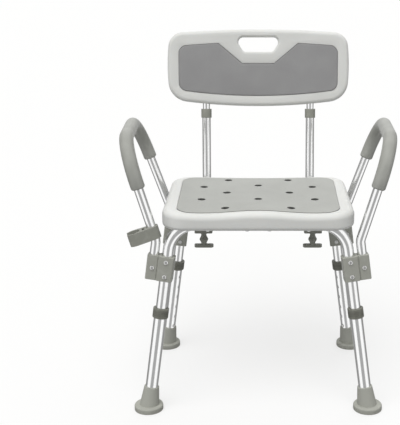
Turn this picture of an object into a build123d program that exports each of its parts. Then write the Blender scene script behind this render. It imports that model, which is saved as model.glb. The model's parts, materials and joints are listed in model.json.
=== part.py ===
from build123d import *
import os
from math import cos, radians, sin, sqrt

# Shower chair on four adjustable legs, in millimetres. +Z is up and +Y is towards the backrest.
# Left and right are as seen from the front, so left is -X. The origin is on the floor, under
# the middle of the whole chair. The chair stands at its lowest setting.

# ---------------------------------------------------------------- seat
seat_width = 384.0
seat_depth = 304.0
seat_height = 419.0  # floor to the top of the seat pad
seat_thickness = 38.0  # moulded seat without the pad's raised part
seat_corner_r = 46.0
seat_top_round = 12.0
seat_bottom_round = 9.0
seat_y = -22.489  # middle of the seat, ahead of the origin
moulding_wall = 3.0  # wall of the hollow blow-moulded seat and backrest

pad_thickness = 5.0
pad_sunk = 4.0  # how deep a pad lies in its recess
pad_gap = 0.3  # all round between a pad's edge and its recess
pad_front_width = 324.0
pad_rear_width = 334.0
pad_depth = 271.0
pad_corner_r = 30.0
pad_front_dip = 4.0  # the front edge curves in by this much at its middle

drain_d = 16.0
drain_columns = ((0.0, (70.0, -45.0)), (66.0, (116.0, 12.0, -104.0)), (117.0, (57.0, -38.0)))

# ---------------------------------------------------------------- tubes
tube_wall = 1.2
leg_tube_d = 25.4
bow_tube_d = 22.2
arm_tube_d = 19.05
back_tube_d = 19.05
post_d = 15.88
same_part_gap = 0.05  # between pieces that are fixed together
running_gap = 0.08  # round a tube that slides through its collar

# ---------------------------------------------------------------- legs
leg_splay_x = 0.139  # sideways run of a leg for each unit of height
leg_splay_y = 0.058
leg_inset_x = 20.7  # bow corner inside the seat's side
leg_inset_y = 16.5  # bow inside the seat's front and rear edges
rear_inset = 9.0  # the rear legs stand this much further in, on each side
bow_sunk = 10.4  # bow axis above the seat's underside, in its groove
bow_bend_r = 58.0
leg_tube_top = 209.0  # height of the outer tube's upper end
leg_hole_top = 182.0  # height of the highest adjusting hole
leg_hole_d = 7.0
leg_hole_pitch = 25.4
leg_hole_count = 6
bow_end_below_button = 13.0

collar_d = 32.0
collar_height = 20.0
collar_above_tube = 9.5
collar_edge_r = 1.2
collar_lip = 5.5  # plain rim above the collar's finger grooves
collar_grooves = 3
collar_groove = 1.8  # height of a groove, and of the rib above it
collar_groove_depth = 0.7
foot_d = 59.0
foot_base = 11.6
foot_edge_r = 3.5
foot_under_edge_r = 1.2
foot_cone_root = 5.8  # the cone starts this far up, inside the disc
foot_cone_d = 41.0
foot_top_d = 30.4
foot_height = 50.0
foot_sole = 9.5  # rubber under the tube, along the leg
foot_treads = (21.0, 10.5)  # outer radii of the grooves in the sole
foot_tread_width = 3.0
foot_tread_depth = 1.6

# ---------------------------------------------------------------- snap buttons
button_d = 6.0
button_hole_gap = 0.25
button_out = 2.4  # how far a button stands out of the tube outside
button_edge_r = 1.6
spring_side = 0.4  # the spring is this much wider than its button, on each side
spring_fold = 2.4  # height of the closed end of the spring
spring_thickness = 0.6
spring_length = 34.0
spring_wall_gap = 0.5
spring_room = 4.2  # free space behind the spring, for the button's travel

# ---------------------------------------------------------------- arms and their clamps
clamp_height = 301.5  # height of a front clamp's middle
rear_clamp_drop = 17.0  # the rear clamps sit this much lower on their legs
clamp_length = 50.5
clamp_yaw = 3.0  # the arm tube sits this many degrees back from the leg, in plan
arm_pitch = 26.7  # leg axis to arm axis in a clamp
clamp_leg_width = 30.6
clamp_arm_width = 24.4
clamp_leg_wall = 3.6  # in front of and behind the leg tube
clamp_arm_wall = 2.8
clamp_split = 0.8
clamp_corner_r = 3.5
clamp_step_r = 1.0
clamp_edge = 0.8  # chamfer round both ends
clamp_groove_r = 1.3  # groove between the two lobes
arm_end_gap = 2.0  # arm tube's end above the clamp's lower end
arm_kink_height = 357.4
arm_lean = 0.293  # outward run of the front upright above its kink for each unit of height
rear_arm_lean = 0.351
arm_rise = 134.0  # top bar's axis above the seat pad
arm_kink_r = 22.0
arm_bend_r = 80.0
grip_d = 28.4
grip_height = 464.0  # height of both ends of the grip

seat_screw_columns = (22.0, 100.0)  # off the middle, on each bow
screw_d = 5.0
screw_hole_gap = 0.15
screw_head_d = 9.6
screw_head = 2.9
screw_dome_r = 2.5
screw_cross = 5.6  # arms of the cross recess
screw_cross_width = 1.1
screw_cross_depth = 1.7
clamp_screw_reach = 15.0  # leg screws above and below the clamp's middle
nut_flats = 8.0
nut_height = 4.4
nut_pocket = 2.6
screw_past_nut = 1.0
back_screws_up = (30.0, 80.0)  # along a post, above the backrest's lower edge

# ---------------------------------------------------------------- backrest and its tubes
back_spacing = 234.0
back_recline = 0.1613  # rearward run for each unit of height
back_tube_gap = 0.8  # behind the seat's rear face
back_run_below_seat = 37.0  # axis of the tube's level run below the seat's underside
back_bend_r = 45.0
back_tube_top = 556.0
back_collar_d = 23.3
back_collar_height = 20.0
back_collar_edge_r = 1.0
back_collar_above_tube = 8.0
post_depth = 118.0  # post inside the back tube, along it
post_in_shell = 104.0
back_hole_pitch = 25.4
back_hole_count = 3
back_button_d = 5.0
back_button_above_end = 26.0
back_hole_d = 5.8

back_width = 406.0
back_height = 170.0
back_thickness = 28.0
back_bottom = 570.0  # height of the middle of its lower edge
back_top_bow = 8.0  # rise of the top edge from its corners
back_bottom_bow = 15.0
back_side_bow = 6.0
back_top_corner_r = 34.0
back_bottom_corner_r = 46.0
back_edge_round = 9.0
handle_width = 107.0
handle_lower_width = 66.0
handle_height = 32.5
handle_below_top = 17.0
handle_corner_r = 11.0
handle_edge_round = 5.0
back_pad_half_width = 177.0
back_pad_top = 54.0  # above the backrest's middle
back_pad_side_drop = 6.0
back_pad_bottom = 48.5  # below the middle, at the sides
back_pad_bottom_bow = 13.0
back_pad_corner_r = 18.0
notch_half_width = 89.0
notch_floor_half = 36.0
notch_floor = 9.5
notch_corner_r = 16.0

# ---------------------------------------------------------------- knobs and their brackets
knob_setback = 135.0  # knob ahead of the seat's rear edge
bracket_width = 38.0
bracket_length = 34.0
bracket_floor = 4.5  # under the tube
bracket_flange_width = 64.0
bracket_flange = 5.0
bracket_screw_out = 25.0
saddle_setback = 45.0
saddle_length = 18.0
knob_stud_d = 8.0
knob_stud_gap = 0.3
knob_flange_d = 18.0
knob_flange = 3.0
knob_neck_d = 11.0
knob_bulge_d = 18.6
knob_length = 36.0
knob_bar_length = 41.0
knob_bar_width = 11.0
knob_bar = 6.8
knob_edge_r = 1.0
knob_bar_edge_r = 1.5
moving_gap = 0.3
tube_ahead_of_knob = 16.0
plug_rim = 2.0
plug_length = 14.0
knob_stud_past_tube = 6.0
bracket_corner_r = 4.0
boss_wall = 4.0  # round a screw in a moulding
seat_screw_length = 27.0
bracket_screw_length = 17.0
back_screw_length = 15.0
screw_tip_gap = 1.0
cavity_edge_r = 5.5

# ---------------------------------------------------------------- shower holder
holder_height = 25.0
holder_wall = 3.6
holder_grip_gap = 0.08
cradle_r = 12.5
cradle_out = 36.5
cradle_forward_angle = 10.0
cradle_mouth = 17.0
holder_slit = 2.0
holder_window_length = 16.0
holder_window_width = 5.0
holder_above_kink = 18.0  # its middle above the arm's kink, along the arm

os.makedirs("parts", exist_ok=True)

# ---------------------------------------------------------------- shared places
seat_shell_top = seat_height - (pad_thickness - pad_sunk)
seat_base = seat_shell_top - seat_thickness
bow_height = seat_base + bow_sunk
bow_x = seat_width / 2 - leg_inset_x
bow_y = seat_depth / 2 - leg_inset_y
half_bow = bow_tube_d / 2
half_arm = arm_tube_d / 2
screw_hole_d = screw_d + 2 * screw_hole_gap

across = Plane.YZ
front_to_rear = Plane(origin=(0, seat_y, 0), z_dir=(0, 1, 0))
corners = ("front_left", "front_right", "rear_left", "rear_right")
sides = {"left": (), "right": (across,)}


def save(piece, name):
    """Labels a finished piece and writes its STEP file."""
    piece.part.label = name
    export_step(piece.part, f"parts/{name}.step")


def mirrored(piece, planes):
    """The same piece, mirrored in each of the planes in turn."""
    for plane in planes:
        with BuildPart() as copy:
            mirror(piece.part, about=plane)
        piece = copy
    return piece


def at_corner(piece, place, down=0.0):
    """The front left piece at one of the corners. At the rear it stands further in, and lower by
    down along the leg."""
    if "rear" in place:
        with BuildPart() as moved:
            add(mirrored(piece, (front_to_rear,)).part.moved(Location(rear_shift(down))))
        piece = moved
    if "right" in place:
        piece = mirrored(piece, (across,))
    return piece


def tube_along(line, outer_d, inner_d):
    """A round tube, or a bar where inner_d is 0, swept along a line."""
    with BuildPart() as tube:
        with BuildSketch(Plane(origin=line @ 0, z_dir=line % 0)):
            Circle(outer_d / 2)
            if inner_d:
                Circle(inner_d / 2, mode=Mode.SUBTRACT)
        sweep(path=line)
    return tube


def drill(plane, hole_d, depth, both=False):
    """Cuts a round hole from a plane's origin along its normal, in the open part."""
    with BuildSketch(plane) as hole:
        Circle(hole_d / 2)
    extrude(hole.sketch, amount=depth, both=both, mode=Mode.SUBTRACT)


# ---------------------------------------------------------------- front left leg's own frame
leg_dir = Vector(leg_splay_x, leg_splay_y, 1).normalized()


def leg_axis(height):
    """Point of the front left leg's axis at a height."""
    down = bow_height - height
    return Vector(-bow_x - leg_splay_x * down, seat_y - bow_y - leg_splay_y * down, height)


def to_rear(point, down=0.0):
    """The point that a front left point has on the rear left leg."""
    return Vector(point.X, 2 * seat_y - point.Y, point.Z) + rear_shift(down)


def rear_shift(down):
    """How far a mirrored piece moves in, and down along the rear left leg."""
    return Vector(rear_inset, 0, 0) - Vector(leg_dir.X, -leg_dir.Y, leg_dir.Z) * down


def along_leg(height):
    """Distance along the leg from the floor to a height."""
    return height / leg_dir.Z


def square_to(direction, axis):
    """The direction with its share along the axis taken out."""
    return (direction - axis * direction.dot(axis)).normalized()


leg_plane = Plane(origin=leg_axis(0), z_dir=leg_dir)
hole_dir = square_to(Vector(1, 1, 0), leg_dir)
hole_heights = [leg_hole_top - n * leg_hole_pitch * leg_dir.Z for n in range(leg_hole_count)]
button_height = hole_heights[-1]
clamp_x_dir = square_to(Vector(-cos(radians(clamp_yaw)), sin(radians(clamp_yaw)), 0), leg_dir)
clamp_plane = Plane(origin=leg_axis(clamp_height), x_dir=clamp_x_dir, z_dir=leg_dir)


def in_clamp(x, y, z):
    """Point given in the front left clamp's frame: x to the arm tube, y outwards, z up the leg."""
    return clamp_plane.from_local_coords(Vector(x, y, z))


clamp_screws_at = [(0, clamp_screw_reach), (0, -clamp_screw_reach), (arm_pitch, 0)]
leg_face = half_bow + clamp_leg_wall  # outer face's distance from the clamp's split
arm_face = half_arm + clamp_arm_wall
face_at = {0: leg_face, arm_pitch: arm_face}


def screw_plane(x, z, y=0.0):
    """Plane across a clamp screw, facing out of the clamp."""
    return Plane(origin=in_clamp(x, y, z), x_dir=clamp_plane.x_dir, z_dir=clamp_plane.y_dir)


# ---------------------------------------------------------------- leg bows
def bow_line(end):
    """Centre line of the front bow (end = -1) or the rear bow (end = 1)."""
    bottom = leg_axis(button_height) - leg_dir * bow_end_below_button
    corner = leg_axis(bow_height)
    if end > 0:
        bottom = to_rear(bottom)
        corner = to_rear(corner)
    with BuildLine() as line:
        FilletPolyline(
            (bottom.X, bottom.Y, bottom.Z),
            (corner.X, corner.Y, bow_height),
            (-corner.X, corner.Y, bow_height),
            (-bottom.X, bottom.Y, bottom.Z),
            radius=bow_bend_r,
        )
    return line.line


def make_bow(end):
    """One U-shaped tube: two inner legs joined under the seat, drilled for its fasteners."""
    bow_tube = tube_along(bow_line(end), bow_tube_d, bow_tube_d - 2 * tube_wall)
    with BuildPart() as button_drill:
        with BuildSketch(Plane(origin=leg_axis(button_height), z_dir=hole_dir)):
            Circle(button_d / 2 + button_hole_gap)
        extrude(amount=bow_tube_d)
    with BuildPart() as clamp_drill:
        for x, z in clamp_screws_at[:2]:
            with BuildSketch(screw_plane(x, z)):
                Circle(screw_hole_d / 2)
            extrude(amount=bow_tube_d, both=True)
    place = "front_left" if end < 0 else "rear_left"
    button_hole = at_corner(button_drill, place)
    clamp_holes = at_corner(clamp_drill, place, rear_clamp_drop)
    with BuildPart() as made:
        add(bow_tube.part)
        for tool in (button_hole, clamp_holes):
            add(tool.part, mode=Mode.SUBTRACT)
            mirror(tool.part, about=across, mode=Mode.SUBTRACT)
        for x in seat_screw_columns:
            for side in (-x, x):
                screw_at = Plane((side, seat_y + end * bow_y, bow_height))
                drill(screw_at, screw_hole_d, bow_tube_d, both=True)
    return made


front_bow = make_bow(-1)
rear_bow = make_bow(1)
save(front_bow, "front_bow")
save(rear_bow, "rear_bow")

# ---------------------------------------------------------------- outer leg tube with its holes
with BuildPart() as leg_tube:
    with BuildSketch(leg_plane.offset(foot_sole)):
        Circle(leg_tube_d / 2)
        Circle(leg_tube_d / 2 - tube_wall, mode=Mode.SUBTRACT)
    extrude(amount=along_leg(leg_tube_top) - foot_sole)
    for height in hole_heights:
        drill(Plane(origin=leg_axis(height), z_dir=hole_dir), leg_hole_d, leg_tube_d)

# ---------------------------------------------------------------- collar at the tube's upper end
collar_top = along_leg(leg_tube_top) + collar_above_tube
with BuildPart() as leg_collar:
    with BuildSketch(leg_plane.offset(collar_top - collar_height)):
        Circle(collar_d / 2)
    extrude(amount=collar_height)
    fillet(leg_collar.edges().group_by(SortBy.LENGTH)[-1], radius=collar_edge_r)
    for n in range(collar_grooves):
        groove_top = collar_top - collar_lip - 2 * n * collar_groove
        with BuildSketch(leg_plane.offset(groove_top)):
            Circle(collar_d / 2)
            Circle(collar_d / 2 - collar_groove_depth, mode=Mode.SUBTRACT)
        extrude(amount=-collar_groove, mode=Mode.SUBTRACT)
    with BuildSketch(leg_plane.offset(collar_top - collar_height)):
        Circle(leg_tube_d / 2 + same_part_gap)
    extrude(amount=collar_height - collar_above_tube, mode=Mode.SUBTRACT)
    with BuildSketch(leg_plane.offset(collar_top)):
        Circle(half_bow + running_gap)
    extrude(amount=-collar_height, mode=Mode.SUBTRACT)

# ---------------------------------------------------------------- rubber foot
with BuildPart() as foot:
    with BuildSketch(Plane(leg_axis(0))):
        Circle(foot_d / 2)
    extrude(amount=foot_base)
    fillet(foot.edges().group_by(Axis.Z)[-1], radius=foot_edge_r)
    fillet(foot.edges().group_by(Axis.Z)[0], radius=foot_under_edge_r)
    with BuildSketch(leg_plane.offset(foot_cone_root)):
        Circle(foot_cone_d / 2)
    with BuildSketch(leg_plane.offset(foot_height)):
        Circle(foot_top_d / 2)
    loft()
    with BuildSketch(leg_plane.offset(foot_sole)):
        Circle(leg_tube_d / 2 + same_part_gap)
    extrude(amount=foot_height, mode=Mode.SUBTRACT)
    with BuildSketch(Plane(leg_axis(0))):
        for tread_r in foot_treads:
            Circle(tread_r)
            Circle(tread_r - foot_tread_width, mode=Mode.SUBTRACT)
    extrude(amount=foot_tread_depth, mode=Mode.SUBTRACT)


# ---------------------------------------------------------------- spring clip with a snap button
def snap_clip(centre, out_dir, along, button, inner_r, outer_r):
    """Button on a folded leaf spring inside a tube. centre is on the tube's axis, out_dir is the
    button's way out, inner_r the inside of the tube that holds it and outer_r the tube outside."""
    half_width = button / 2 + spring_side
    near = sqrt(inner_r**2 - half_width**2) - spring_wall_gap
    far = near - spring_room
    side = Plane(origin=centre, x_dir=out_dir, z_dir=out_dir.cross(along))
    with BuildPart() as clip:
        with BuildSketch(side):
            with BuildLine():
                Polyline(
                    (near, -button),
                    (near, button),
                    (spring_thickness, spring_length),
                    (-spring_thickness, spring_length),
                    (-far, -button),
                    (-far + spring_thickness, -button),
                    (0, spring_length - spring_fold),
                    (near - spring_thickness, button),
                    (near - spring_thickness, -button),
                    close=True,
                )
            make_face()
        extrude(amount=half_width, both=True)
        with BuildSketch(Plane(origin=centre + out_dir * (near - spring_thickness), z_dir=out_dir)):
            Circle(button / 2)
        extrude(amount=outer_r + button_out - near + spring_thickness)
        fillet(clip.edges().filter_by(GeomType.CIRCLE).sort_by(Axis(centre, out_dir))[-1], button_edge_r)
    return clip


leg_button = snap_clip(
    leg_axis(button_height), hole_dir, leg_dir, button_d, half_bow - tube_wall, leg_tube_d / 2
)

for place in corners:
    save(at_corner(leg_tube, place), f"leg_tube_{place}")
    save(at_corner(leg_collar, place), f"leg_collar_{place}")
    save(at_corner(foot, place), f"foot_{place}")
    save(at_corner(leg_button, place), f"leg_button_{place}")

# ---------------------------------------------------------------- clamp halves, screws and nuts
def make_clamp_half(sign):
    """The outer half (sign = 1, under the screw heads) or the inner half (sign = -1, with nuts)."""
    left = -clamp_leg_width / 2
    middle = clamp_leg_width / 2
    right = arm_pitch + clamp_arm_width / 2
    with BuildPart() as half:
        with BuildSketch(clamp_plane.offset(-clamp_length / 2)) as section:
            with BuildLine():
                Polyline(
                    (left, sign * clamp_split / 2),
                    (left, sign * leg_face),
                    (middle, sign * leg_face),
                    (middle, sign * arm_face),
                    (right, sign * arm_face),
                    (right, sign * clamp_split / 2),
                    close=True,
                )
            make_face()
            for x, y, r in (
                (left, leg_face, clamp_corner_r),
                (right, arm_face, clamp_corner_r),
                (middle, leg_face, clamp_step_r),
                (middle, arm_face, clamp_step_r),
            ):
                corner = Vector(x, sign * y)
                fillet(section.vertices().sort_by_distance(corner)[0], r)
        extrude(amount=clamp_length)
        rims = half.edges().filter_by(lambda e: abs(e.tangent_at(0.5).dot(leg_dir)) < 0.5)
        outer = rims.filter_by(lambda e: clamp_plane.to_local_coords(e.center()).Y * sign > clamp_split)
        chamfer(outer, clamp_edge)
        with BuildSketch(clamp_plane.offset(-clamp_length / 2)):
            Circle(half_bow + same_part_gap)
            with Locations((arm_pitch, 0)):
                Circle(half_arm + same_part_gap)
            with Locations((middle + clamp_groove_r, sign * arm_face)):
                Circle(clamp_groove_r)
        extrude(amount=clamp_length, mode=Mode.SUBTRACT)
        for x, z in clamp_screws_at:
            drill(screw_plane(x, z), screw_hole_d, clamp_length, both=True)
            if sign < 0:
                with BuildSketch(screw_plane(x, z, nut_pocket - face_at[x])):
                    RegularPolygon(nut_flats / 2 + screw_hole_gap, 6, major_radius=False)
                extrude(amount=-clamp_length, mode=Mode.SUBTRACT)
    return half


def make_screw(under_head, length):
    """A domed screw with a cross recess. Its head stands on a plane and its shank goes through it."""
    with BuildPart() as made:
        with BuildSketch():
            Circle(screw_head_d / 2)
        extrude(amount=screw_head)
        fillet(made.edges().group_by(Axis.Z)[-1], screw_dome_r)
        with BuildSketch(Plane.XY.offset(screw_head)):
            Rectangle(screw_cross, screw_cross_width)
            Rectangle(screw_cross_width, screw_cross)
        extrude(amount=-screw_cross_depth, mode=Mode.SUBTRACT)
        with BuildSketch():
            Circle(screw_d / 2)
        extrude(amount=-length)
    return made.part.moved(Location(under_head))


corner_screw_list = []
for x, z in clamp_screws_at:
    through = 2 * face_at[x] - nut_pocket + nut_height + screw_past_nut
    corner_screw_list.append(make_screw(screw_plane(x, z, face_at[x]), through))
with BuildPart() as corner_screws:
    add(corner_screw_list)

with BuildPart() as corner_nuts:
    for x, z in clamp_screws_at:
        with BuildSketch(screw_plane(x, z, nut_pocket - face_at[x])):
            RegularPolygon(nut_flats / 2, 6, major_radius=False)
            Circle(screw_d / 2 + same_part_gap, mode=Mode.SUBTRACT)
        extrude(amount=-nut_height)

clamp_face = make_clamp_half(1)
clamp_back = make_clamp_half(-1)
for place in corners:
    save(at_corner(clamp_face, place, rear_clamp_drop), f"clamp_face_{place}")
    save(at_corner(clamp_back, place, rear_clamp_drop), f"clamp_back_{place}")

with BuildPart() as clamp_screws:
    for place in corners:
        add(at_corner(corner_screws, place, rear_clamp_drop).part)
save(clamp_screws, "clamp_screws")

with BuildPart() as clamp_nuts:
    for place in corners:
        add(at_corner(corner_nuts, place, rear_clamp_drop).part)
save(clamp_nuts, "clamp_nuts")

# ---------------------------------------------------------------- arms
arm_foot = in_clamp(arm_pitch, 0, arm_end_gap - clamp_length / 2)
to_kink = (arm_kink_height - arm_foot.Z) / leg_dir.Z
arm_kink = arm_foot + leg_dir * to_kink
arm_top = seat_height + arm_rise


rear_arm_foot = to_rear(arm_foot, rear_clamp_drop)
rear_arm_y = 2 * seat_y - arm_kink.Y
rear_kink_down = rear_inset / (leg_splay_x + rear_arm_lean)  # the rear kink is this much lower
rear_kink_x = arm_kink.X + rear_arm_lean * rear_kink_down
rear_arm_kink = Vector(rear_kink_x, rear_arm_y + leg_splay_y * rear_kink_down, arm_kink.Z - rear_kink_down)


def arm_point(height):
    """Point of the left arm's front upright above its kink."""
    return Vector(arm_kink.X - arm_lean * (height - arm_kink.Z), arm_kink.Y, height)


def rear_arm_point(height):
    """Point of the left arm's rear upright above its kink."""
    up = height - rear_arm_kink.Z
    return Vector(rear_arm_kink.X - rear_arm_lean * up, rear_arm_kink.Y, height)


with BuildLine() as arm_line:
    FilletPolyline(
        arm_foot,
        arm_kink,
        arm_point(arm_top),
        rear_arm_point(arm_top),
        rear_arm_kink,
        rear_arm_foot,
        radius=[arm_kink_r, arm_bend_r, arm_bend_r, arm_kink_r],
    )
arm_bar = tube_along(arm_line.line, arm_tube_d, arm_tube_d - 2 * tube_wall)
with BuildPart() as arm_drill:
    with BuildSketch(screw_plane(arm_pitch, 0)):
        Circle(screw_hole_d / 2)
    extrude(amount=arm_tube_d, both=True)
with BuildPart() as arm_tube:
    add(arm_bar.part)
    add(arm_drill.part, mode=Mode.SUBTRACT)
    add(at_corner(arm_drill, "rear_left", rear_clamp_drop).part, mode=Mode.SUBTRACT)

with BuildLine() as grip_line:
    FilletPolyline(
        arm_point(grip_height),
        arm_point(arm_top),
        rear_arm_point(arm_top),
        rear_arm_point(grip_height),
        radius=arm_bend_r,
    )
arm_grip = tube_along(grip_line.line, grip_d, arm_tube_d + 2 * same_part_gap)

for place, planes in sides.items():
    save(mirrored(arm_tube, planes), f"arm_tube_{place}")
    save(mirrored(arm_grip, planes), f"arm_grip_{place}")

# ---------------------------------------------------------------- shower holder on the left arm
arm_dir = (arm_point(arm_top) - arm_kink).normalized()
cradle_dir = Vector(
    -cos(radians(cradle_forward_angle)), -sin(radians(cradle_forward_angle)), 0
)
holder_plane = Plane(
    origin=arm_kink + arm_dir * holder_above_kink,
    x_dir=square_to(cradle_dir, arm_dir),
    z_dir=arm_dir,
)
with BuildPart() as shower_holder:
    with BuildSketch(holder_plane.offset(-holder_height / 2)):
        Circle(half_arm + holder_wall)
        with Locations((cradle_out, 0)):
            Circle(cradle_r + holder_wall)
        make_hull()
        Circle(half_arm + holder_grip_gap, mode=Mode.SUBTRACT)
        with Locations((cradle_out, 0)):
            Circle(cradle_r, mode=Mode.SUBTRACT)
        with Locations((cradle_out + cradle_r, 0)):
            Rectangle(2 * cradle_r, cradle_mouth, mode=Mode.SUBTRACT)
        with Locations((-half_arm - holder_wall / 2, 0)):
            Rectangle(2 * holder_wall, holder_slit, mode=Mode.SUBTRACT)
        with Locations(((half_arm + cradle_out - cradle_r) / 2, 0)):
            SlotOverall(holder_window_length, holder_window_width, rotation=90, mode=Mode.SUBTRACT)
    extrude(amount=holder_height)
save(shower_holder, "shower_holder")

# ---------------------------------------------------------------- backrest tubes, in their own frame
back_up = Vector(0, back_recline, 1).normalized()
back_run_height = seat_base - back_run_below_seat
knob_y = seat_y + seat_depth / 2 - knob_setback
run_front = knob_y - tube_ahead_of_knob


def back_axis(height):
    """Point of the left back tube's axis at a height, behind the seat's rear face."""
    at_seat_base = seat_y + seat_depth / 2 + back_tube_gap + back_tube_d / 2 / back_up.Z
    return Vector(-back_spacing / 2, at_seat_base + back_recline * (height - seat_base), height)


def along_back(height):
    """Plane across the left back tube, where its axis is at a height."""
    return Plane(origin=back_axis(height), x_dir=(1, 0, 0), z_dir=back_up)


button_dir = square_to(Vector(0, 1, 0), back_up)
post_end = back_axis(back_tube_top) - back_up * (post_depth - back_collar_above_tube)
back_button_at = post_end + back_up * back_button_above_end
back_holes = [back_button_at + back_up * n * back_hole_pitch for n in range(back_hole_count)]

with BuildLine() as back_line:
    FilletPolyline(
        (-back_spacing / 2, run_front, back_run_height),
        back_axis(back_run_height),
        back_axis(back_tube_top),
        radius=back_bend_r,
    )
back_bar = tube_along(back_line.line, back_tube_d, back_tube_d - 2 * tube_wall)
with BuildPart() as back_tube:
    add(back_bar.part)
    for hole in back_holes:
        drill(Plane(origin=hole, z_dir=button_dir), back_hole_d, back_tube_d)
    knob_hole = Plane((-back_spacing / 2, knob_y, back_run_height))
    drill(knob_hole, knob_stud_d + 2 * knob_stud_gap, back_tube_d, both=True)

with BuildPart() as back_collar:
    collar_base = along_back(back_tube_top).offset(back_collar_above_tube - back_collar_height)
    with BuildSketch(collar_base):
        Circle(back_collar_d / 2)
    extrude(amount=back_collar_height)
    fillet(back_collar.edges().group_by(SortBy.LENGTH)[-1], radius=back_collar_edge_r)
    drill(collar_base, back_tube_d + 2 * same_part_gap, back_collar_height - back_collar_above_tube)
    drill(collar_base, post_d + 2 * running_gap, back_collar_height)

post_length = post_in_shell + (back_axis(back_bottom) - post_end).length
with BuildPart() as back_post:
    with BuildSketch(Plane(origin=post_end, x_dir=(1, 0, 0), z_dir=back_up)):
        Circle(post_d / 2)
        Circle(post_d / 2 - tube_wall, mode=Mode.SUBTRACT)
    extrude(amount=post_length)
    button_drill_at = Plane(origin=back_button_at, z_dir=button_dir)
    drill(button_drill_at, back_button_d + 2 * button_hole_gap, post_d)
    for up in back_screws_up:
        place = Plane(origin=back_axis(back_bottom) + back_up * up, z_dir=button_dir)
        drill(place, screw_hole_d, post_d)

back_button = snap_clip(
    back_button_at, button_dir, back_up, back_button_d, post_d / 2 - tube_wall, back_tube_d / 2
)

for place, planes in sides.items():
    save(mirrored(back_tube, planes), f"back_tube_{place}")
    save(mirrored(back_collar, planes), f"back_collar_{place}")
    save(mirrored(back_post, planes), f"back_post_{place}")
    save(mirrored(back_button, planes), f"back_button_{place}")

# ---------------------------------------------------------------- backrest
back_middle = back_axis(back_bottom) + back_up * back_height / 2
back_plane = Plane(origin=(0, back_middle.Y, back_middle.Z), x_dir=(1, 0, 0), z_dir=-button_dir)


def back_outline(inset):
    """The backrest's bowed outline in the open sketch, drawn in by an inset."""
    half = back_width / 2 - inset
    corner = half - back_side_bow
    top = back_height / 2 - inset
    with BuildSketch() as outline:
        with BuildLine():
            low = ThreePointArc(
                (-corner, back_bottom_bow - top), (0, -top), (corner, back_bottom_bow - top)
            )
            high = ThreePointArc((corner, top - back_top_bow), (0, top), (-corner, top - back_top_bow))
            ThreePointArc(low @ 1, (half, 0), high @ 0)
            ThreePointArc(high @ 1, (-half, 0), low @ 0)
        make_face()
        fillet(outline.vertices().group_by(Axis.Y)[-1], back_top_corner_r - inset)
        fillet(outline.vertices().sort_by(Axis.Y)[:2], back_bottom_corner_r - inset)
    return outline.sketch


def handle_outline(margin):
    """The hand hole's outline, wider at its top, grown by a margin."""
    top = back_height / 2 - handle_below_top + margin
    floor = top - handle_height - 2 * margin
    with BuildSketch() as outline:
        with BuildLine():
            Polyline(
                (-handle_width / 2 - margin, top),
                (handle_width / 2 + margin, top),
                (handle_lower_width / 2 + margin, floor),
                (-handle_lower_width / 2 - margin, floor),
                close=True,
            )
        make_face()
        fillet(outline.vertices(), handle_corner_r + margin / 2)
    return outline.sketch


def back_pad_outline(margin):
    """The back pad's outline, notched round the hand hole and grown by a margin."""
    half = back_pad_half_width + margin
    top = back_pad_top + margin
    with BuildSketch() as outline:
        with BuildLine():
            low = ThreePointArc(
                (-half, -back_pad_bottom - margin),
                (0, -back_pad_bottom - back_pad_bottom_bow - margin),
                (half, -back_pad_bottom - margin),
            )
            Polyline(
                low @ 1,
                (half, top - back_pad_side_drop),
                (notch_half_width - margin, top),
                (notch_floor_half, notch_floor + margin),
                (-notch_floor_half, notch_floor + margin),
                (margin - notch_half_width, top),
                (-half, top - back_pad_side_drop),
                low @ 0,
            )
        make_face()
        from_middle = outline.vertices().sort_by(lambda v: abs(v.X))
        fillet(from_middle[4:], back_pad_corner_r)
        fillet(from_middle[:4], notch_corner_r)
    return outline.sketch


front_face = back_thickness / 2
with BuildPart() as back_cavity:
    with BuildSketch(back_plane.offset(moulding_wall - front_face)):
        add(back_outline(moulding_wall))
        add(handle_outline(2 * moulding_wall), mode=Mode.SUBTRACT)
    extrude(amount=back_thickness - pad_sunk - 2 * moulding_wall)
    for x in (-back_spacing / 2, back_spacing / 2):
        lower = Vector(x, back_axis(back_bottom).Y, back_bottom)
        with BuildSketch(Plane(origin=lower - back_up * back_height, z_dir=back_up)):
            Circle(post_d / 2 + moulding_wall)
        extrude(amount=back_height + post_in_shell + moulding_wall, mode=Mode.SUBTRACT)

with BuildPart() as backrest_shell:
    with BuildSketch(back_plane.offset(-front_face)):
        add(back_outline(0))
    extrude(amount=back_thickness)
    through = Axis(back_plane.origin, back_plane.z_dir)
    fillet(backrest_shell.faces().sort_by(through)[-1].edges(), back_edge_round)
    fillet(backrest_shell.faces().sort_by(through)[0].edges(), back_edge_round)
    with BuildSketch(back_plane.offset(-front_face)):
        add(handle_outline(0))
    extrude(amount=back_thickness, mode=Mode.SUBTRACT)
    fillet(backrest_shell.faces().sort_by(through)[-1].inner_wires().edges(), handle_edge_round)
    fillet(backrest_shell.faces().sort_by(through)[0].inner_wires().edges(), handle_edge_round)
    with BuildSketch(back_plane.offset(front_face - pad_sunk)):
        add(back_pad_outline(pad_gap))
    extrude(amount=back_thickness, mode=Mode.SUBTRACT)
    add(back_cavity.part, mode=Mode.SUBTRACT)
    for x in (-back_spacing / 2, back_spacing / 2):
        lower = Vector(x, back_axis(back_bottom).Y, back_bottom)
        drill(
            Plane(origin=lower - back_up * back_height, z_dir=back_up),
            post_d + 2 * same_part_gap,
            back_height + post_in_shell,
        )
        for up in back_screws_up:
            drill(Plane(origin=lower + back_up * up, z_dir=button_dir), screw_hole_d, back_thickness)
save(backrest_shell, "backrest_shell")

with BuildPart() as backrest_pad:
    with BuildSketch(back_plane.offset(front_face - pad_sunk)):
        add(back_pad_outline(0))
    extrude(amount=pad_thickness)
save(backrest_pad, "backrest_pad")

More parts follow.
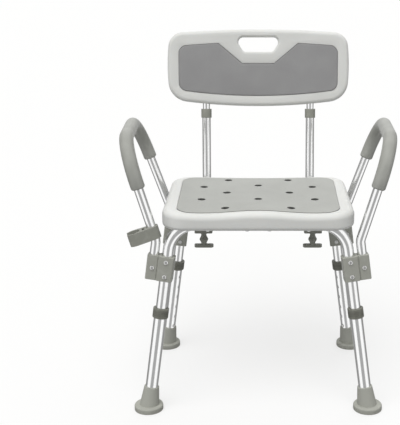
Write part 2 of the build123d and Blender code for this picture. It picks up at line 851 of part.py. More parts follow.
back_screw_list = []
for x in (-back_spacing / 2, back_spacing / 2):
    lower = Vector(x, back_axis(back_bottom).Y, back_bottom) + button_dir * front_face
    for up in back_screws_up:
        head_at = Plane(origin=lower + back_up * up, z_dir=button_dir)
        back_screw_list.append(make_screw(head_at, back_screw_length))
with BuildPart() as backrest_screws:
    add(back_screw_list)
save(backrest_screws, "backrest_screws")

# ---------------------------------------------------------------- seat
drains = [(x * side, y) for x, rows in drain_columns for y in rows for side in (-1, 1) if x or side > 0]
bow_screws = [
    (x * side, bow_y * end) for x in seat_screw_columns for side in (-1, 1) for end in (-1, 1)
]
saddle_y = seat_depth / 2 - saddle_setback
bracket_screws_at = [
    (side * (back_spacing / 2 + out), y)
    for side in (-1, 1)
    for out in (-bracket_screw_out, bracket_screw_out)
    for y in (knob_y - seat_y, saddle_y)
]


def seat_plane(height):
    """Level plane at a height, with its origin under the middle of the seat."""
    return Plane((0, seat_y, height))


def seat_pad_outline(margin):
    """The seat pad's outline, grown by a margin."""
    front = -pad_depth / 2 - margin
    rear = pad_depth / 2 + margin
    with BuildSketch() as outline:
        with BuildLine():
            low = ThreePointArc(
                (-pad_front_width / 2 - margin, front),
                (0, front + pad_front_dip),
                (pad_front_width / 2 + margin, front),
            )
            Polyline(
                low @ 1,
                (pad_rear_width / 2 + margin, rear),
                (-pad_rear_width / 2 - margin, rear),
                low @ 0,
            )
        make_face()
        fillet(outline.vertices(), pad_corner_r)
    return outline.sketch


with BuildPart() as seat_cavity:
    cavity_floor = seat_base + moulding_wall
    cavity_height = seat_thickness - pad_sunk - 2 * moulding_wall
    with BuildSketch(seat_plane(cavity_floor)):
        RectangleRounded(
            seat_width - 2 * moulding_wall, seat_depth - 2 * moulding_wall, seat_corner_r - moulding_wall
        )
    extrude(amount=cavity_height)
    fillet(seat_cavity.faces().sort_by(Axis.Z)[-1].edges(), cavity_edge_r)
    fillet(seat_cavity.faces().sort_by(Axis.Z)[0].edges(), cavity_edge_r)
    with BuildSketch(seat_plane(cavity_floor)):
        with Locations(*drains):
            Circle(drain_d / 2 + moulding_wall)
        with Locations(*bow_screws, *bracket_screws_at):
            Circle(screw_d / 2 + boss_wall)
    extrude(amount=cavity_height, mode=Mode.SUBTRACT)
    with BuildSketch(seat_plane(cavity_floor)):
        with Locations((0, -bow_y), (0, bow_y)):
            Rectangle(seat_width, bow_tube_d + 2 * moulding_wall)
    extrude(amount=bow_height + half_bow + moulding_wall - cavity_floor, mode=Mode.SUBTRACT)

with BuildPart() as seat_shell:
    with BuildSketch(seat_plane(seat_base)):
        RectangleRounded(seat_width, seat_depth, seat_corner_r)
    extrude(amount=seat_thickness)
    fillet(seat_shell.faces().sort_by(Axis.Z)[-1].edges(), seat_top_round)
    fillet(seat_shell.faces().sort_by(Axis.Z)[0].edges(), seat_bottom_round)
    with BuildSketch(seat_plane(seat_shell_top - pad_sunk)):
        add(seat_pad_outline(pad_gap))
    extrude(amount=pad_sunk, mode=Mode.SUBTRACT)
    add(seat_cavity.part, mode=Mode.SUBTRACT)
    for end in (-1, 1):
        groove = tube_along(bow_line(end), bow_tube_d + 2 * same_part_gap, 0)
        add(groove.part, mode=Mode.SUBTRACT)
    with BuildSketch(seat_plane(seat_base)):
        with Locations(*drains):
            Circle(drain_d / 2)
    extrude(amount=seat_thickness, mode=Mode.SUBTRACT)
    with BuildSketch(seat_plane(seat_base)):
        with Locations(*bow_screws):
            Circle(screw_d / 2 + same_part_gap)
    extrude(amount=seat_screw_length - half_bow + bow_sunk + screw_tip_gap, mode=Mode.SUBTRACT)
    with BuildSketch(seat_plane(seat_base)):
        with Locations(*bracket_screws_at):
            Circle(screw_d / 2 + same_part_gap)
    extrude(amount=bracket_screw_length - bracket_flange + screw_tip_gap, mode=Mode.SUBTRACT)
save(seat_shell, "seat_shell")

with BuildPart() as seat_pad:
    with BuildSketch(seat_plane(seat_height - pad_thickness)):
        add(seat_pad_outline(0))
        with Locations(*drains):
            Circle(drain_d / 2, mode=Mode.SUBTRACT)
    extrude(amount=pad_thickness)
save(seat_pad, "seat_pad")

seat_screw_list = []
for x, y in bow_screws:
    head_at = Plane(origin=(x, seat_y + y, bow_height - half_bow), z_dir=(0, 0, -1))
    seat_screw_list.append(make_screw(head_at, seat_screw_length))
with BuildPart() as seat_screws:
    add(seat_screw_list)
save(seat_screws, "seat_screws")


# ---------------------------------------------------------------- brackets under the seat
def make_bracket(y, length):
    """Left bracket that holds the level run of a back tube against the seat's underside."""
    middle = (-back_spacing / 2, y)
    floor = back_run_height - back_tube_d / 2 - bracket_floor
    with BuildPart() as made:
        with BuildSketch(Plane((*middle, floor))):
            RectangleRounded(bracket_width, length, bracket_corner_r)
        extrude(amount=seat_base - floor)
        with BuildSketch(Plane((*middle, seat_base))):
            RectangleRounded(bracket_flange_width, length, bracket_corner_r)
        extrude(amount=-bracket_flange)
        tube_end = Plane(origin=(*middle, back_run_height), z_dir=(0, 1, 0))
        drill(tube_end, back_tube_d + 2 * same_part_gap, length, both=True)
        for out in (-bracket_screw_out, bracket_screw_out):
            drill(Plane((middle[0] + out, y, seat_base)), screw_hole_d, -bracket_flange)
    return made


bracket_base = back_run_height - back_tube_d / 2 - bracket_floor
stud_top = back_run_height + back_tube_d / 2 + knob_stud_past_tube
knob_plane = Plane((-back_spacing / 2, knob_y, bracket_base))
plain_bracket = make_bracket(knob_y, bracket_length)
with BuildPart() as knob_bracket:
    add(plain_bracket.part)
    drill(knob_plane, knob_stud_d + 2 * running_gap, bracket_floor + tube_wall)
    stud_room = knob_plane.offset(bracket_floor)
    drill(stud_room, knob_stud_d + 2 * knob_stud_gap, stud_top + moving_gap - bracket_base - bracket_floor)

saddle = make_bracket(seat_y + saddle_y, saddle_length)
for place, planes in sides.items():
    save(mirrored(knob_bracket, planes), f"knob_bracket_{place}")
    save(mirrored(saddle, planes), f"back_saddle_{place}")

bracket_screw_list = []
for x, y in bracket_screws_at:
    head_at = Plane(origin=(x, seat_y + y, seat_base - bracket_flange), z_dir=(0, 0, -1))
    bracket_screw_list.append(make_screw(head_at, bracket_screw_length))
with BuildPart() as bracket_screws:
    add(bracket_screw_list)
save(bracket_screws, "bracket_screws")

with BuildPart() as tube_plugs:
    for side in (-1, 1):
        end_plane = Plane(origin=(side * back_spacing / 2, run_front, back_run_height), z_dir=(0, 1, 0))
        with BuildSketch(end_plane):
            Circle(back_tube_d / 2)
        extrude(amount=-plug_rim)
        with BuildSketch(end_plane):
            Circle(back_tube_d / 2 - tube_wall - same_part_gap)
        extrude(amount=plug_length - plug_rim)
save(tube_plugs, "tube_plugs")

# ---------------------------------------------------------------- T-knobs that lock the back tubes
with BuildPart() as knob:
    with BuildSketch(Plane.XZ):
        with BuildLine():
            neck = knob_neck_d / 2
            flange = knob_flange_d / 2
            low = knob_bar - knob_length
            FilletPolyline(
                (0, -moving_gap),
                (flange, -moving_gap),
                (flange, -moving_gap - knob_flange),
                (neck, -moving_gap - 2 * knob_flange),
                radius=knob_edge_r,
            )
            Spline(
                (neck, -moving_gap - 2 * knob_flange),
                (knob_bulge_d / 2, (low - 2 * knob_flange) / 2),
                (neck, low),
                tangents=((0, -1), (0, -1)),
            )
            Polyline((neck, low), (0, low), (0, -moving_gap))
        make_face()
    revolve(axis=Axis.Z)
    with BuildSketch(Plane.XY.offset(-knob_length)):
        SlotOverall(knob_bar_length, knob_bar_width)
    extrude(amount=knob_bar)
    fillet(knob.faces().sort_by(Axis.Z)[0].edges(), knob_bar_edge_r)
    with BuildSketch(Plane.XY.offset(-moving_gap - knob_flange)):
        Circle(knob_stud_d / 2)
    extrude(amount=stud_top - bracket_base + moving_gap + knob_flange)
with BuildPart() as left_knob:
    add(knob.part.moved(Location(knob_plane.origin)))
for place, planes in sides.items():
    save(mirrored(left_knob, planes), f"knob_{place}")
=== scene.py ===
import json
from math import cos, pi, radians

import bmesh
import bpy
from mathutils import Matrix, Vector


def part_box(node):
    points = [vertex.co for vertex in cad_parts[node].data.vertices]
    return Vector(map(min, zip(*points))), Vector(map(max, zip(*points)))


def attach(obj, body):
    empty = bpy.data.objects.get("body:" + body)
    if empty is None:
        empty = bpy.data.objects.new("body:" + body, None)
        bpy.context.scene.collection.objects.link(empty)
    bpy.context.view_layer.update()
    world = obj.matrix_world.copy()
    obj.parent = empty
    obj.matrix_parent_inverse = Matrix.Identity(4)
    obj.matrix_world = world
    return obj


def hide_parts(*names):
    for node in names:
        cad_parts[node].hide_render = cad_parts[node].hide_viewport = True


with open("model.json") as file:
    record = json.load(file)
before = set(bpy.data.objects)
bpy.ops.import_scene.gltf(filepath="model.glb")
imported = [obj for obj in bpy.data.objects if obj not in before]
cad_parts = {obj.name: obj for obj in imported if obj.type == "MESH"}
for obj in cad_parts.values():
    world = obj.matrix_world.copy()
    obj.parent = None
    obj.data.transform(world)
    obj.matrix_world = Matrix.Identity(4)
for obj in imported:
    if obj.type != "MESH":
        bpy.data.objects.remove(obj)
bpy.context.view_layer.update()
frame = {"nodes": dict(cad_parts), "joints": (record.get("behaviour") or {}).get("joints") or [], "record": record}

# ---------------------------------------------------------------- the view
# The chair stands square on, seen from the front at a standing adult's chest height, with the
# view turned down enough to show the top of the seat and all four feet.
lens = bpy.data.cameras.new("front_view")
lens.lens = 78.74
lens.sensor_width = 36
lens.shift_x = -0.137
lens.shift_y = 0.0012
eye = bpy.data.objects.new("front_view", lens)
eye.location = (0, -1.9132, 0.9246)
eye.rotation_euler = (radians(73.78), 0, 0)
bpy.context.scene.collection.objects.link(eye)
bpy.context.scene.camera = eye
bpy.context.scene.view_settings.view_transform = "Standard"

# ---------------------------------------------------------------- studio floor
# A seamless white sweep, large enough to run out of sight behind the chair. It glows a little, as
# a table lit from below does, so that it stays almost white under the chair.
floor_reach = 45.0
floor_paint = bpy.data.materials.new("pale_floor")
floor_paint.use_nodes = True
floor_shader = floor_paint.node_tree.nodes["Principled BSDF"]
floor_shader.inputs["Base Color"].default_value = (0.32, 0.32, 0.318, 1)
floor_shader.inputs["Roughness"].default_value = 1.0
floor_shader.inputs["Specular IOR Level"].default_value = 0.0
floor_shader.inputs["Emission Color"].default_value = (1.0, 1.0, 0.995, 1)
floor_shader.inputs["Emission Strength"].default_value = 0.62
sweep = bmesh.new()
bmesh.ops.create_grid(sweep, x_segments=1, y_segments=1, size=floor_reach)
floor_mesh = bpy.data.meshes.new("floor")
sweep.to_mesh(floor_mesh)
sweep.free()
floor_mesh.materials.append(floor_paint)
floor = bpy.data.objects.new("floor", floor_mesh)
bpy.context.scene.collection.objects.link(floor)
floor.visible_diffuse = False
floor.visible_glossy = False

# ---------------------------------------------------------------- studio light
# A white tent gives a soft fill, a little stronger from above, with a broad soft key light high in
# front and a weaker one behind. Bright tubes see two white panels beside the chair and one behind
# it, and the grey gaps between the panels draw the grey lines down the tubes.
fill_light = 0.47
top_light = 0.42
key_light = 1.95
rear_light = 0.55
lamp_spread = radians(55)
gap_in_front = 0.50
panel = 1.32
gap_beside = 0.42
panel_behind = 1.1
overhead_panel = 1.0
backdrop = 1.21
front_gap_ends = radians(22), radians(32)
panel_ends = radians(78), radians(92)
rear_panel_starts = radians(150), radians(162)
overhead_starts = 0.45, 0.8  # rise of the direction, where straight up is 1
tent = bpy.data.worlds.new("white_tent")
tent.use_nodes = True
bpy.context.scene.world = tent
wiring = tent.node_tree
wiring.nodes.clear()
facing = wiring.nodes.new("ShaderNodeTexCoord")
split = wiring.nodes.new("ShaderNodeSeparateXYZ")
wiring.links.new(facing.outputs["Generated"], split.inputs[0])


def feed(sockets, values):
    """Sets sockets in turn, each to a number or to another node's output."""
    for socket, value in zip(sockets, values):
        if isinstance(value, (int, float)):
            socket.default_value = value
        else:
            wiring.links.new(value, socket)


def tent_math(operation, *values):
    """One step of arithmetic in the tent's light."""
    node = wiring.nodes.new("ShaderNodeMath")
    node.operation = operation
    feed(node.inputs, values)
    return node.outputs[0]


def tent_blend(value, start, end, low, high):
    """Goes smoothly from low to high while a value goes from start to end."""
    node = wiring.nodes.new("ShaderNodeMapRange")
    node.interpolation_type = "SMOOTHSTEP"
    feed(node.inputs, (value, start, end, low, high))
    return node.outputs["Result"]


up_part = tent_math("MAXIMUM", split.outputs["Z"], 0)
soft = tent_math("MULTIPLY_ADD", tent_math("MULTIPLY", up_part, up_part), top_light, fill_light)
behind = tent_math("MULTIPLY", split.outputs["Y"], -1)
heading = tent_math("ABSOLUTE", tent_math("ARCTAN2", split.outputs["X"], behind))
beside = tent_blend(heading, *front_gap_ends, gap_in_front, panel)
beyond = tent_blend(heading, *panel_ends, 0, 1)
around = tent_blend(beyond, 0, 1, beside, gap_beside)
rear_share = tent_blend(heading, *rear_panel_starts, 0, 1)
walls = tent_blend(rear_share, 0, 1, around, panel_behind)
ceiling = tent_blend(split.outputs["Z"], *overhead_starts, 0, 1)
mirrored_tent = tent_blend(ceiling, 0, 1, walls, overhead_panel)
rays = wiring.nodes.new("ShaderNodeLightPath").outputs
unseen_tent = tent_blend(rays["Is Glossy Ray"], 0, 1, soft, mirrored_tent)
glow = wiring.nodes.new("ShaderNodeBackground")
wiring.links.new(tent_blend(rays["Is Camera Ray"], 0, 1, unseen_tent, backdrop), glow.inputs["Strength"])
sky = wiring.nodes.new("ShaderNodeOutputWorld")
wiring.links.new(glow.outputs[0], sky.inputs["Surface"])

for name, energy, tilt, turn in (("key_light", key_light, 27, -12), ("rear_light", rear_light, -55, 20)):
    light = bpy.data.lights.new(name, "SUN")
    light.energy = energy
    light.angle = lamp_spread
    lamp = bpy.data.objects.new(name, light)
    lamp.rotation_euler = (radians(tilt), radians(turn), 0)
    lamp.visible_glossy = False
    bpy.context.scene.collection.objects.link(lamp)


# ---------------------------------------------------------------- tubes
# Thin-walled aluminium tube, drawn, bent cold and clear anodised: four outer legs with their
# adjusting holes, two bows, two arms, and the back tubes with their posts. Drawing leaves fine
# streaks along each tube, and handling leaves a few hairline scratches.
def new_finish(name, colour, roughness, metallic=0.0):
    """A material's node tree, its shader, and the Object coordinates for its patterns."""
    made = bpy.data.materials.new(name)
    made.use_nodes = True
    tree = made.node_tree
    shader = tree.nodes["Principled BSDF"]
    shader.inputs["Base Color"].default_value = (*colour, 1)
    shader.inputs["Roughness"].default_value = roughness
    shader.inputs["Metallic"].default_value = metallic
    place = tree.nodes.new("ShaderNodeTexCoord").outputs["Object"]
    return made, tree, shader, place


def noise(tree, place, scale, detail=2.0, distortion=0.0):
    """The value of a noise pattern, with its grain size set by a scale per metre."""
    node = tree.nodes.new("ShaderNodeTexNoise")
    node.inputs["Scale"].default_value = scale
    node.inputs["Detail"].default_value = detail
    node.inputs["Distortion"].default_value = distortion
    tree.links.new(place, node.inputs["Vector"])
    return node.outputs["Fac"]


def spread(tree, value, low, high, start=0.3, end=0.7):
    """A pattern's value, from start to end, spread smoothly over low to high."""
    node = tree.nodes.new("ShaderNodeMapRange")
    node.interpolation_type = "SMOOTHSTEP"
    node.inputs["From Min"].default_value = start
    node.inputs["From Max"].default_value = end
    node.inputs["To Min"].default_value = low
    node.inputs["To Max"].default_value = high
    tree.links.new(value, node.inputs["Value"])
    return node.outputs["Result"]


def tint(tree, shader, share, colour, other):
    """Colours the shader from one colour to another by a share that varies over the surface."""
    node = tree.nodes.new("ShaderNodeMix")
    node.data_type = "RGBA"
    node.inputs["A"].default_value = (*colour, 1)
    node.inputs["B"].default_value = (*other, 1)
    tree.links.new(share, node.inputs["Factor"])
    tree.links.new(node.outputs["Result"], shader.inputs["Base Color"])
    return node


def raise_grain(tree, shader, height, distance, strength=1.0, under=None):
    """Bumps the surface by a pattern, on top of a coarser bump if there is one."""
    node = tree.nodes.new("ShaderNodeBump")
    node.inputs["Distance"].default_value = distance
    node.inputs["Strength"].default_value = strength
    tree.links.new(height, node.inputs["Height"])
    if under:
        tree.links.new(under, node.inputs["Normal"])
    tree.links.new(node.outputs["Normal"], shader.inputs["Normal"])
    return node.outputs["Normal"]


def vector_step(tree, operation, place, other):
    """One step of vector arithmetic on a place."""
    node = tree.nodes.new("ShaderNodeVectorMath")
    node.operation = operation
    tree.links.new(place, node.inputs[0])
    if other is not None:
        node.inputs[1].default_value = other
    return node.outputs["Value" if operation == "DOT_PRODUCT" else "Vector"]


def stretched(tree, place, along, fine, long):
    """Coordinates drawn out along a direction, fine across it and long down it."""
    side = along.orthogonal().normalized()
    joined = tree.nodes.new("ShaderNodeCombineXYZ")
    directions = (side * fine, along.cross(side) * fine, along * long)
    for socket, direction in zip(joined.inputs, directions):
        tree.links.new(vector_step(tree, "DOT_PRODUCT", place, direction), socket)
    return joined.outputs["Vector"]


def drawn_aluminium(name, along, middle=None):
    """Clear anodised aluminium with streaks along a direction. With a middle, the direction is
    mirrored in each quarter round it, as the legs are."""
    made, tree, shader, place = new_finish(name, (0.91, 0.912, 0.912), 0.22, 1.0)
    shader.inputs["Specular Tint"].default_value = (0.55, 0.55, 0.54, 1)
    if middle is not None:
        place = vector_step(tree, "SUBTRACT", place, middle)
        place = vector_step(tree, "ABSOLUTE", place, None)
    streaks = noise(tree, stretched(tree, place, along, 700, 5), 1.0, 4.0)
    hairlines = noise(tree, stretched(tree, place, along, 2600, 30), 1.0, 2.0)
    clouds = noise(tree, place, 22, 3.0)
    tint(tree, shader, spread(tree, streaks, 0, 1), (0.88, 0.882, 0.88), (0.94, 0.942, 0.94))
    duller = tree.nodes.new("ShaderNodeMath")
    duller.operation = "ADD"
    tree.links.new(spread(tree, streaks, 0.13, 0.19), duller.inputs[0])
    tree.links.new(spread(tree, clouds, 0.0, 0.04), duller.inputs[1])
    tree.links.new(duller.outputs[0], shader.inputs["Roughness"])
    coarse = raise_grain(tree, shader, streaks, 0.00002, 0.5)
    raise_grain(tree, shader, hairlines, 0.00001, 0.5, coarse)
    return made


def dress(names, made):
    """Gives CAD pieces their material."""
    for name in names:
        nodes[name].material_slots[0].material = made


nodes = frame["nodes"]
joints = {joint["name"]: joint for joint in frame["joints"]}
corners = ("front_left", "front_right", "rear_left", "rear_right")
sides = ("left", "right")
seat_low, seat_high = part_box("seat_shell")
seat_middle = (seat_low + seat_high) / 2
leg_down = Vector(joints["leg_front_left_slide"]["axis"])
leg_way = Vector((abs(leg_down.x), abs(leg_down.y), -abs(leg_down.z)))
back_up = Vector(joints["backrest_slide"]["axis"])
arm_up = Vector(joints["holder_swivel"]["axis"])
arm_way = Vector((abs(arm_up.x), 0, arm_up.z))
chair_middle = (0, seat_middle.y, 0)
leg_aluminium = drawn_aluminium("leg_aluminium", leg_way, chair_middle)
arm_aluminium = drawn_aluminium("arm_aluminium", arm_way, chair_middle)
back_aluminium = drawn_aluminium("back_aluminium", back_up)
dress([f"leg_tube_{corner}" for corner in corners] + ["front_bow", "rear_bow"], leg_aluminium)
dress([f"arm_tube_{side}" for side in sides], arm_aluminium)
dress([f"{tube}_{side}" for tube in ("back_tube", "back_post") for side in sides], back_aluminium)


# ---------------------------------------------------------------- seat
# Hollow seat, blow-moulded in off-white polyethylene. Its top has two thigh hollows in front and
# a shallow bowl behind, a recess for the pad, and holes that let the water run off.
thigh_hollow = 0.0048
thigh_reach = 1.1  # where the hollow ends, in half widths of the seat
rear_bowl = 0.0022
rigid_below = 0.012  # of the moulding's height, where the frame is fixed
bends_above = 0.030
bend_slice = 0.003
seat_slice = 0.011
recess_round = 0.0014
sharp_over = radians(50)
smooth_under = radians(38)
flat_within = radians(0.3)
weld_within = 0.000001
cut_within = 0.00001
up = Vector((0, 0, 1))


def open_copy(name):
    """A CAD piece's mesh, welded and with its flat faces whole, open for shaping."""
    shape = bmesh.new()
    shape.from_mesh(nodes[name].data)
    bmesh.ops.remove_doubles(shape, verts=shape.verts, dist=weld_within)
    bmesh.ops.dissolve_limit(
        shape, angle_limit=flat_within, verts=shape.verts, edges=shape.edges, delimit={"NORMAL"}
    )
    return shape


def slice_up(shape, axis, low, high, step):
    """Cuts a shape into strips across an axis, so that it can bend smoothly."""
    count = max(round((high - low) / step), 2)
    normal = Vector((axis == 0, axis == 1, axis == 2))
    for cut in range(1, count):
        geometry = shape.verts[:] + shape.edges[:] + shape.faces[:]
        at = normal * (low + (high - low) * cut / count)
        bmesh.ops.bisect_plane(shape, geom=geometry, dist=cut_within, plane_co=at, plane_no=normal)


def smoothly(share):
    """A share from 0 to 1 that starts and ends gently."""
    share = min(max(share, 0), 1)
    return share * share * (3 - 2 * share)


def sharp_edges(shape):
    """Edges where two faces meet at a marked angle."""
    paired = [edge for edge in shape.edges if len(edge.link_faces) == 2]
    return [edge for edge in paired if edge.calc_face_angle() > sharp_over]


def rim_edges(shape, way, level):
    """A plate's sharp edges on its outer face: those past a level along way."""
    rims = []
    for edge in sharp_edges(shape):
        middle = (edge.verts[0].co + edge.verts[1].co) / 2
        if middle.dot(way) > level:
            rims.append(edge)
    return rims


def round_over(shape, edges, width, steps):
    """Rounds edges with a bevel of a few steps."""
    bmesh.ops.bevel(
        shape, geom=edges, offset=width, offset_type="OFFSET", segments=steps, profile=0.5,
        affect="EDGES", clamp_overlap=False, material=-1,
    )


def seat_dip(spot):
    """How far the seat's surface lies under a flat one."""
    half_width = (seat_high.x - seat_low.x) / 2
    out = abs(spot.x) / half_width
    forward = smoothly((seat_high.y - spot.y) / (seat_high.y - seat_low.y))
    thigh = 0.5 - 0.5 * cos(2 * pi * min(out / thigh_reach, 1))
    bowl = cos(pi / 2 * min(out, 1)) ** 2
    return thigh_hollow * forward * thigh + rear_bowl * (1 - forward) * bowl


def finish_piece(shape, name, material, body, stands_for):
    """Makes a shaped mesh into a piece that rides on a body and stands for a CAD piece."""
    mesh = bpy.data.meshes.new(name)
    shape.to_mesh(mesh)
    shape.free()
    mesh.materials.clear()
    mesh.materials.append(material)
    mesh.polygons.foreach_set("material_index", [0] * len(mesh.polygons))
    mesh.shade_smooth()
    mesh.set_sharp_from_angle(angle=smooth_under)
    piece = bpy.data.objects.new(name, mesh)
    bpy.context.scene.collection.objects.link(piece)
    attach(piece, body)
    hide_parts(stands_for)
    return piece


def white_moulding(name):
    """Off-white polyethylene with a fine eroded grain, faint flow marks and handling dulling."""
    made, tree, shader, place = new_finish(name, (0.74, 0.745, 0.72), 0.42)
    shader.inputs["Specular IOR Level"].default_value = 0.45
    shader.inputs["Subsurface Weight"].default_value = 0.06
    shader.inputs["Subsurface Radius"].default_value = (0.006, 0.005, 0.004)
    flow = noise(tree, place, 9, 4.0, 0.6)
    grain = noise(tree, place, 1500, 2.0)
    pebble = noise(tree, place, 420, 1.0)
    tint(tree, shader, spread(tree, flow, 0, 1), (0.725, 0.73, 0.705), (0.755, 0.76, 0.735))
    tree.links.new(spread(tree, pebble, 0.36, 0.50), shader.inputs["Roughness"])
    coarse = raise_grain(tree, shader, pebble, 0.00006, 0.35)
    raise_grain(tree, shader, grain, 0.00003, 0.5, coarse)
    return made


seat_plastic = white_moulding("seat_plastic")
seat_shape = open_copy("seat_shell")
round_over(seat_shape, rim_edges(seat_shape, up, seat_high.z - recess_round), recess_round, 3)
slice_up(seat_shape, 0, seat_low.x, seat_high.x, seat_slice)
slice_up(seat_shape, 1, seat_low.y, seat_high.y, seat_slice)
slice_up(seat_shape, 2, seat_low.z + rigid_below, seat_low.z + bends_above, bend_slice)
for spot in seat_shape.verts:
    height = spot.co.z - seat_low.z
    spot.co.z -= seat_dip(spot.co) * smoothly((height - rigid_below) / (bends_above - rigid_below))
finish_piece(seat_shape, "seat_moulding", seat_plastic, "frame", "seat_shell")

# ---------------------------------------------------------------- seat pad
# Soft grey closed-cell foam, die-cut with the seat's drain holes and glued into the recess. Its
# edges are pressed round, it follows the hollows of the seat and it sinks a little at each hole.
foam_edge = 0.0012
skin_depth = 0.001
# painted shade: how dark the foam's cut edges and drain hole walls are painted, as a share of the deep tone
edge_shade_tone = 0.22
hole_dimple = 0.0003
dimple_reach = 0.012
dimple_depth = 0.005  # of the foam, over which a hole's dimple dies out
pad_slice = 0.007


def soft_foam(name, way, pale, deep):
    """Closed-cell foam with a skin that faces along way: a fine cell pattern, a cloudy tone and a soft sheen at a
    low angle.
    Its cut edges and drain hole walls turn away from way and get painted shade, much darker than the open cells'
    own tone."""
    made, tree, shader, place = new_finish(name, pale, 0.72)
    shader.inputs["Specular IOR Level"].default_value = 0.3
    shader.inputs["Sheen Weight"].default_value = 0.25
    shader.inputs["Sheen Roughness"].default_value = 0.5
    cloud = noise(tree, place, 16, 4.0, 0.4)
    skin_colour = tint(tree, shader, spread(tree, cloud, 0, 1, 0.25, 0.75), deep, pale)
    normal = tree.nodes.new("ShaderNodeNewGeometry").outputs["Normal"]
    # painted shade: faces turned away from the skin (cut edges, drain hole walls) are darkened towards the shade
    # tone, standing in for the shadow that falls there
    cut = spread(tree, vector_step(tree, "DOT_PRODUCT", normal, way), 1, 0, 0.25, 0.8)
    shaded_edge_colour = tint(tree, shader, cut, pale, tuple(edge_shade_tone * part for part in deep))
    tree.links.new(skin_colour.outputs["Result"], shaded_edge_colour.inputs["A"])
    cells = tree.nodes.new("ShaderNodeTexVoronoi")
    cells.inputs["Scale"].default_value = 900
    tree.links.new(place, cells.inputs["Vector"])
    tree.links.new(spread(tree, noise(tree, place, 300), 0.62, 0.82), shader.inputs["Roughness"])
    skin = raise_grain(tree, shader, noise(tree, place, 130, 3.0), 0.00012, 0.4)
    raise_grain(tree, shader, cells.outputs["Distance"], 0.00009, 0.6, skin)
    return made


pad_low, pad_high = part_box("seat_pad")
drains = [
    (Vector(opening["box_m"][0]) + Vector(opening["box_m"][1])) / 2
    for opening in frame["record"]["physics"]["openings"]
    if opening["name"].startswith("drain")
]
seat_foam = soft_foam("seat_foam", up, (0.44, 0.447, 0.42), (0.41, 0.416, 0.39))
pad_shape = open_copy("seat_pad")
round_over(pad_shape, rim_edges(pad_shape, up, pad_high.z - skin_depth), foam_edge, 3)
slice_up(pad_shape, 0, pad_low.x, pad_high.x, pad_slice)
slice_up(pad_shape, 1, pad_low.y, pad_high.y, pad_slice)
for spot in pad_shape.verts:
    near = min([(spot.co.xy - drain.xy).length for drain in drains], default=1)
    sink = hole_dimple * (1 - smoothly(near / dimple_reach))
    sink *= smoothly((spot.co.z - pad_low.z) / dimple_depth)
    spot.co.z -= seat_dip(spot.co) + sink
seat_cushion = finish_piece(pad_shape, "seat_cushion", seat_foam, "frame", "seat_pad")

# ---------------------------------------------------------------- backrest
# The backrest is the same off-white polyethylene, with a hand hole to lift the chair by and a
# recess with a rounded rim. Its darker foam pad is pressed into the recess and crowns a little.
foam_crown = 0.0014
crown_depth = 0.003
back_forward = Vector((1, 0, 0)).cross(back_up)
back_plastic = white_moulding("back_plastic")
back_mould = open_copy("backrest_shell")
mould_level = max(spot.co.dot(back_forward) for spot in back_mould.verts)
round_over(back_mould, rim_edges(back_mould, back_forward, mould_level - recess_round), recess_round, 3)
finish_piece(back_mould, "backrest_moulding", back_plastic, "backrest", "backrest_shell")
back_foam = soft_foam("back_foam", back_forward, (0.335, 0.333, 0.334), (0.305, 0.303, 0.305))
back_low, back_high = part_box("backrest_pad")
back_middle = (back_low + back_high) / 2
back_shape = open_copy("backrest_pad")
front_level = max(spot.co.dot(back_forward) for spot in back_shape.verts)
round_over(back_shape, rim_edges(back_shape, back_forward, front_level - skin_depth), foam_edge, 3)
slice_up(back_shape, 0, back_low.x, back_high.x, pad_slice)
slice_up(back_shape, 2, back_low.z, back_high.z, pad_slice)
for spot in back_shape.verts:
    out = (spot.co.x - back_middle.x) / (back_high.x - back_low.x) * 2
    rise = (spot.co.z - back_middle.z) / (back_high.z - back_low.z) * 2
    lift = foam_crown * (1 - out ** 4) * (1 - rise ** 2)
    if spot.co.dot(back_forward) > front_level - crown_depth:
        spot.co += back_forward * lift
back_cushion = finish_piece(back_shape, "back_cushion", back_foam, "backrest", "backrest_pad")

# ---------------------------------------------------------------- arm grips
# Sleeves of grey foamed vinyl, blown onto the bent arm tubes. The skin is smooth and a little
# glossy, with a fine leather grain, and both ends are rounded.
grip_end_round = 0.003


def vinyl_skin(name):
    """Grey foamed vinyl with a fine leather grain and a soft shine."""
    made, tree, shader, place = new_finish(name, (0.37, 0.375, 0.345), 0.34)
    shader.inputs["Coat Weight"].default_value = 0.18
    shader.inputs["Coat Roughness"].default_value = 0.3
    cloud = noise(tree, place, 30, 3.0)
    tint(tree, shader, spread(tree, cloud, 0, 1), (0.34, 0.345, 0.315), (0.39, 0.395, 0.365))
    creases = tree.nodes.new("ShaderNodeTexVoronoi")
    creases.feature = "DISTANCE_TO_EDGE"
    creases.inputs["Scale"].default_value = 520
    tree.links.new(place, creases.inputs["Vector"])
    tree.links.new(spread(tree, noise(tree, place, 60), 0.36, 0.5), shader.inputs["Roughness"])
    raise_grain(tree, shader, creases.outputs["Distance"], 0.00008, 0.35)
    return made


grip_vinyl = vinyl_skin("grip_vinyl")
for side in sides:
    cad_grip = f"arm_grip_{side}"
    grip_shape = open_copy(cad_grip)
    round_over(grip_shape, sharp_edges(grip_shape), grip_end_round, 4)
    grip = finish_piece(grip_shape, f"grip_sleeve_{side}", grip_vinyl, "frame", cad_grip)


# ---------------------------------------------------------------- clamps
# Two-part clamps of grey glass-filled nylon tie each arm to its leg. Three screws draw the halves
# together round both tubes.
def grey_nylon(name, colour, worn, roughness=0.5):
    """Moulded nylon: a fine spark-eroded grain with paler scuffs where it is handled."""
    made, tree, shader, place = new_finish(name, colour, roughness)
    shader.inputs["Specular IOR Level"].default_value = 0.4
    scuffs = noise(tree, place, 75, 5.0, 0.8)
    tint(tree, shader, spread(tree, scuffs, 0, 1, 0.42, 0.74), colour, worn)
    pebble = noise(tree, place, 650, 2.0)
    tree.links.new(spread(tree, pebble, roughness - 0.07, roughness + 0.1), shader.inputs["Roughness"])
    coarse = raise_grain(tree, shader, pebble, 0.00006, 0.5)
    raise_grain(tree, shader, noise(tree, place, 2400), 0.00002, 0.5, coarse)
    return made


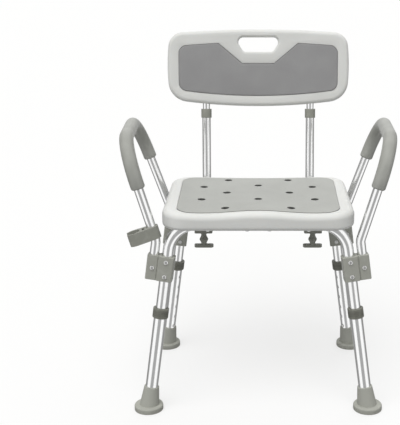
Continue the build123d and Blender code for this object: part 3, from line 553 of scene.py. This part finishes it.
clamp_nylon = grey_nylon("clamp_nylon", (0.365, 0.37, 0.328), (0.405, 0.41, 0.37))
dress([f"clamp_{half}_{corner}" for half in ("face", "back") for corner in corners], clamp_nylon)

# ---------------------------------------------------------------- collars, knobs and brackets
# Ribbed collars of dark grey nylon guide the telescoping legs. The back tubes' collars, the
# T-knobs, the brackets, saddles and plugs under the seat and the clip for a hand shower on the
# left arm are a paler grey.
collar_nylon = grey_nylon("collar_nylon", (0.175, 0.177, 0.15), (0.22, 0.222, 0.19), 0.44)
bracket_nylon = grey_nylon("bracket_nylon", (0.29, 0.295, 0.258), (0.335, 0.338, 0.30))
dress([f"leg_collar_{corner}" for corner in corners], collar_nylon)
small_mouldings = ("back_collar", "knob", "knob_bracket", "back_saddle")
dress([f"{part}_{side}" for part in small_mouldings for side in sides], bracket_nylon)
dress(["tube_plugs", "shower_holder"], bracket_nylon)

# ---------------------------------------------------------------- feet
# Grey rubber ferrules with a wide disc for grip. The rubber is matt, and the edge of the disc
# picks up a little dirt near the floor.
rubber_grey = (0.405, 0.41, 0.368)
floor_dirt = (0.30, 0.295, 0.262)
dirt_height = 0.012


def matt_rubber(name):
    """Grey rubber with a dusty lower edge and a fine dull grain."""
    made, tree, shader, place = new_finish(name, rubber_grey, 0.68)
    shader.inputs["Specular IOR Level"].default_value = 0.3
    height = tree.nodes.new("ShaderNodeSeparateXYZ")
    tree.links.new(place, height.inputs[0])
    low = spread(tree, height.outputs["Z"], 1.0, 0.0, 0.0, dirt_height)
    patches = tree.nodes.new("ShaderNodeMath")
    patches.operation = "MULTIPLY"
    tree.links.new(low, patches.inputs[0])
    tree.links.new(spread(tree, noise(tree, place, 110, 4.0), 0.1, 0.9), patches.inputs[1])
    tint(tree, shader, patches.outputs[0], rubber_grey, floor_dirt)
    grain = noise(tree, place, 900, 3.0)
    tree.links.new(spread(tree, grain, 0.6, 0.78), shader.inputs["Roughness"])
    raise_grain(tree, shader, grain, 0.00006, 0.6)
    return made


dress([f"foot_{corner}" for corner in corners], matt_rubber("foot_rubber"))


# ---------------------------------------------------------------- fasteners and snap buttons
# Domed steel screws with a cross recess, nickel plated, with hexagon nuts behind the clamps. The
# snap buttons are bright stainless steel on spring leaves inside the tubes.
def plated_steel(name, colour, roughness):
    """Bright plated steel with fine polishing marks."""
    made, tree, shader, place = new_finish(name, colour, roughness, 1.0)
    marks = noise(tree, place, 1800, 3.0, 1.5)
    tree.links.new(spread(tree, marks, roughness - 0.05, roughness + 0.1), shader.inputs["Roughness"])
    tint(tree, shader, spread(tree, noise(tree, place, 240), 0, 1), colour, tuple(0.86 * c for c in colour))
    raise_grain(tree, shader, marks, 0.00001, 0.4)
    return made


screw_steel = plated_steel("screw_steel", (0.83, 0.83, 0.82), 0.16)
button_steel = plated_steel("button_steel", (0.76, 0.75, 0.73), 0.22)
dress(["clamp_screws", "clamp_nuts", "seat_screws", "bracket_screws", "backrest_screws"], screw_steel)
dress([f"leg_button_{corner}" for corner in corners], button_steel)
dress([f"back_button_{side}" for side in sides], button_steel)
